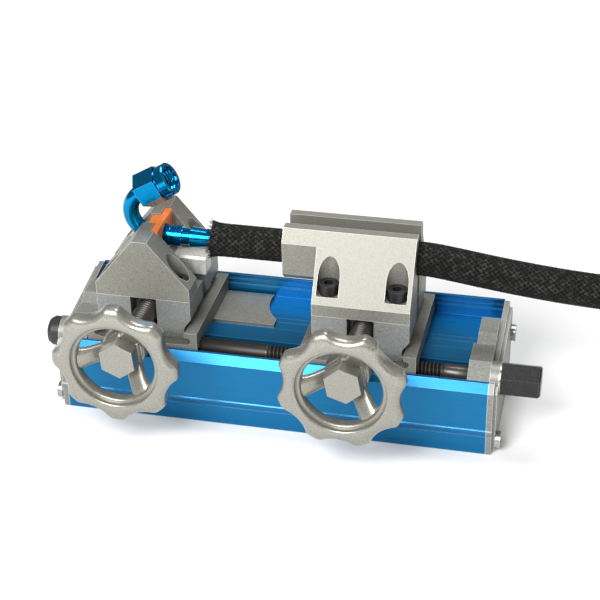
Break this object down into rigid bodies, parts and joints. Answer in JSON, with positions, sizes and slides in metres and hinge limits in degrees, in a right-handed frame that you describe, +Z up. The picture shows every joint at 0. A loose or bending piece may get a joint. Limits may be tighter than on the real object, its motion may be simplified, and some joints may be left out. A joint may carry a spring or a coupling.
{
  "type": "hose crimping machine",
  "caption": "Bench hose press with screw-driven vises on an extruded base, a lead screw that moves the hose vise, and a hose and fitting held in the jaws.",
  "frame": {"origin": "on the underside of the base, below the hose axis and midway between the end plates", "axes": "+Z up, +X along the base towards the drive hex, +Y away from the handwheels"},
  "size_m": [0.3077, 0.1121, 0.1315],
  "materials": {
    "anodised_blue": "blue anodised, satin",
    "end_castings": "bead blasted",
    "carriage_metal": "satin",
    "jaw_castings": "bead blasted",
    "block_aluminium": "satin",
    "wheel_castings": "bead blasted",
    "machined_steel": "machined",
    "black_steel": "black oxide",
    "cap_plastic": "satin black",
    "fitting_blue": "glossy blue anodised",
    "insert_plastic": "satin",
    "hose_cover": "braided black"
  },
  "bodies": {
    "root": {"base_rail": "anodised_blue", "end_plate_left": "end_castings", "end_plate_right": "end_castings", "end_plate_screws_left": "black_steel", "end_plate_screws_right": "black_steel", "thrust_washer_left": "machined_steel", "thrust_washer_right": "machined_steel", "carriage_left": "carriage_metal", "screw_keeper_left": "machined_steel", "fitting_stem": "fitting_blue"},
    "lead_screw": {"lead_screw": "black_steel", "lead_screw_cap": "cap_plastic"},
    "right_carriage": {"carriage_right": "carriage_metal", "lead_nut": "machined_steel", "screw_keeper_right": "machined_steel", "hose_in_jaws": "hose_cover", "hose_tail": "hose_cover"},
    "left_front_jaw": {"jaw_base_left_front": "block_aluminium", "jaw_left_front": "jaw_castings", "jaw_screws_left_front": "black_steel", "insert_front": "insert_plastic"},
    "left_back_jaw": {"jaw_base_left_back": "block_aluminium", "jaw_left_back": "jaw_castings", "jaw_screws_left_back": "black_steel", "insert_back": "insert_plastic", "hose_rest": "machined_steel"},
    "right_front_jaw": {"jaw_base_right_front": "block_aluminium", "jaw_right_front": "jaw_castings", "jaw_screws_right_front": "black_steel"},
    "right_back_jaw": {"jaw_base_right_back": "block_aluminium", "jaw_right_back": "jaw_castings", "jaw_screws_right_back": "black_steel"},
    "left_wheel": {"handwheel_left": "wheel_castings", "vise_screw_left": "black_steel"},
    "right_wheel": {"handwheel_right": "wheel_castings", "vise_screw_right": "black_steel"},
    "swivel_nut": {"swivel_nut": "fitting_blue"}
  },
  "joints": [
    {"name": "left_wheel_spin", "type": "hinge", "parent": "root", "child": "left_wheel", "pos_m": [-0.0703, -0.06, 0.056], "axis": [0, -1, 0], "range_deg": [0, 2160]},
    {"name": "right_wheel_spin", "type": "hinge", "parent": "right_carriage", "child": "right_wheel", "pos_m": [0.0454, -0.06, 0.056], "axis": [0, -1, 0], "range_deg": [0, 2160]},
    {"name": "lead_screw_spin", "type": "hinge", "parent": "root", "child": "lead_screw", "pos_m": [0, -0.0252, 0.0392], "axis": [-1, 0, 0], "range_deg": [-3605, 4325]},
    {"name": "carriage_slide", "type": "slide", "parent": "root", "child": "right_carriage", "axis": [1, 0, 0], "range_m": [-0.02, 0.024]},
    {"name": "left_front_jaw_slide", "type": "slide", "parent": "root", "child": "left_front_jaw", "axis": [0, -1, 0], "range_m": [0, 0.01201]},
    {"name": "left_back_jaw_slide", "type": "slide", "parent": "root", "child": "left_back_jaw", "axis": [0, 1, 0], "range_m": [0, 0.01201]},
    {"name": "right_front_jaw_slide", "type": "slide", "parent": "right_carriage", "child": "right_front_jaw", "axis": [0, -1, 0], "range_m": [0, 0.01201]},
    {"name": "right_back_jaw_slide", "type": "slide", "parent": "right_carriage", "child": "right_back_jaw", "axis": [0, 1, 0], "range_m": [0, 0.01201]},
    {"name": "nut_swivel", "type": "hinge", "parent": "root", "child": "swivel_nut", "pos_m": [-0.07645, 0, 0.11437], "axis": [0.866, 0, 0.5], "range_deg": [-180, 180]}
  ],
  "couplings": [
    {"joint": "lead_screw_spin", "follows": "carriage_slide", "rad_per_m": 3141.6},
    {"joint": "left_front_jaw_slide", "follows": "left_wheel_spin", "m_per_rad": 0.00031831},
    {"joint": "left_back_jaw_slide", "follows": "left_wheel_spin", "m_per_rad": 0.00031831},
    {"joint": "right_front_jaw_slide", "follows": "right_wheel_spin", "m_per_rad": 0.00031831},
    {"joint": "right_back_jaw_slide", "follows": "right_wheel_spin", "m_per_rad": 0.00031831}
  ]
}
